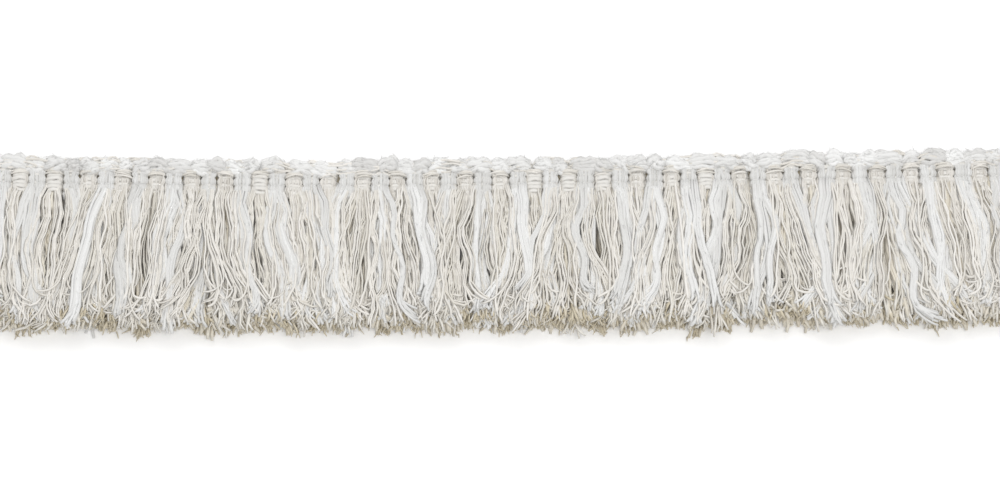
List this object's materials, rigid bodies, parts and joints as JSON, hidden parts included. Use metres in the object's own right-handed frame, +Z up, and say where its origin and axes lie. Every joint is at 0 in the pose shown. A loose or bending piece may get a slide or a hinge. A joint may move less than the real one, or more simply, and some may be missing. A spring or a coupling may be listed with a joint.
{
  "type": "brush fringe trim",
  "caption": "Cut length of cotton brush fringe trim: soft loops and a ribbed heading along one edge, with a thick cut skirt of soft rovings and fine plied threads below.",
  "frame": {"origin": "on the surface that the trim lies on, under the middle of its box", "axes": "+X along the trim, +Y towards its looped edge, +Z up out of its face"},
  "size_m": [0.3, 0.0532, 0.0088],
  "materials": {
    "loop_yarn": "soft white low-twist cotton roving, matt and slightly fuzzy",
    "heading_yarn": "white and raw cream cotton ribs held by fine stitching, matt",
    "skirt_yarn": "soft white rovings among fine raw cream plied cotton threads, matt"
  },
  "bodies": {
    "root": {"edge_loops": "loop_yarn", "heading": "heading_yarn", "fringe_back": "skirt_yarn", "fringe_middle": "skirt_yarn", "fringe_front": "skirt_yarn"}
  },
  "joints": []
}
